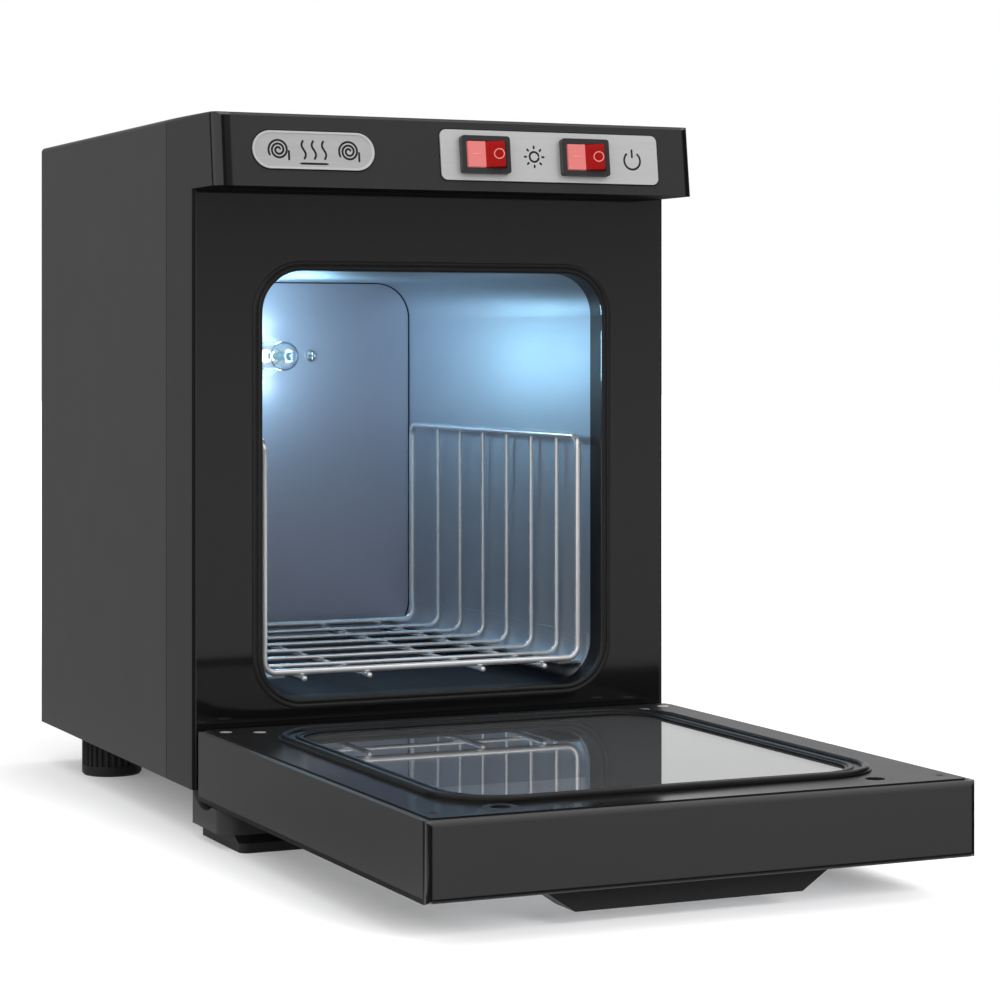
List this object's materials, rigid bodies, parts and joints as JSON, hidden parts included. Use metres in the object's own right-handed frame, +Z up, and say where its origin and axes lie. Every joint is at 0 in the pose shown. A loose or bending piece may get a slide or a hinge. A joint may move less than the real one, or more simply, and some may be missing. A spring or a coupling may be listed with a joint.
{
  "type": "towel warmer",
  "caption": "Small hot-towel cabinet with a drop-down glazed door, lamp-lit metal chamber, wire basket and rocker switches on an overhanging fascia.",
  "frame": {"origin": "on the floor, under the middle of the whole outline with the door open", "axes": "+Z up, the front with the open door faces -Y, +X to the right as seen from the front"},
  "size_m": [0.206, 0.4598, 0.2815],
  "materials": {
    "casing": "satin dark grey coat",
    "moulding": "satin dark grey moulding",
    "gloss_black": "polished black",
    "silver_plate": "satin silver",
    "red_plastic": "gloss red",
    "brass": "plain",
    "aluminium": "smooth sheet",
    "heater": "film-covered plate",
    "steel": "zinc plated",
    "chrome_wire": "bright plated wire",
    "white_plastic": "plain",
    "clear_glass": "clear",
    "lamp_glow": "lit",
    "tinted_glass": "dark tint",
    "rubber": "smooth",
    "fibre": "needled felt"
  },
  "bodies": {
    "cabinet": {"case_wrap": "casing", "rear_panel": "casing", "base_pan": "casing", "front_frame": "moulding", "opening_trim": "gloss_black", "badge_plate": "silver_plate", "switch_plate": "silver_plate", "uv_switch_housing": "gloss_black", "power_switch_housing": "gloss_black", "switch_terminals": "brass", "chamber_liner": "aluminium", "chamber_back_plate": "aluminium", "insulation_blanket": "fibre", "heater_plate": "heater", "thermostat": "steel", "thermal_cutout": "steel", "lamp_driver": "white_plastic", "terminal_block": "white_plastic", "lamp_holder": "white_plastic", "lamp_glass": "clear_glass", "lamp_electrode": "lamp_glow", "lamp_screws": "steel", "basket_rails": "aluminium", "basket_frame": "chrome_wire", "basket_cross_wires": "chrome_wire", "basket_runners": "chrome_wire", "hinge_bracket_left": "moulding", "hinge_bracket_right": "moulding", "bracket_screws": "steel", "front_foot_left": "rubber", "front_foot_right": "rubber", "rear_foot_left": "rubber", "rear_foot_right": "rubber", "foot_screws": "steel", "strike_plates": "steel", "cord_gland": "rubber", "case_screws": "steel"},
    "door": {"door_shell": "moulding", "door_panel": "gloss_black", "door_glass": "tinted_glass", "door_gasket": "rubber", "door_magnets": "steel", "door_screws": "steel", "door_handle": "moulding", "handle_screws": "steel", "hinge_pins": "steel"},
    "uv_rocker_body": {"uv_rocker": "red_plastic"},
    "power_rocker_body": {"power_rocker": "red_plastic"}
  },
  "joints": [
    {"name": "door_hinge", "type": "hinge", "parent": "cabinet", "child": "door", "pos_m": [0, -0.01095, 0.0309], "axis": [-1, 0, 0], "range_deg": [0, 90]},
    {"name": "uv_rocker_tilt", "type": "hinge", "parent": "cabinet", "child": "uv_rocker_body", "pos_m": [0.0092, -0.02419, 0.26646], "axis": [0, 0.1258, 0.9921], "range_deg": [0, 20]},
    {"name": "power_rocker_tilt", "type": "hinge", "parent": "cabinet", "child": "power_rocker_body", "pos_m": [0.0531, -0.02419, 0.26646], "axis": [0, 0.1258, 0.9921], "range_deg": [0, 20]}
  ]
}
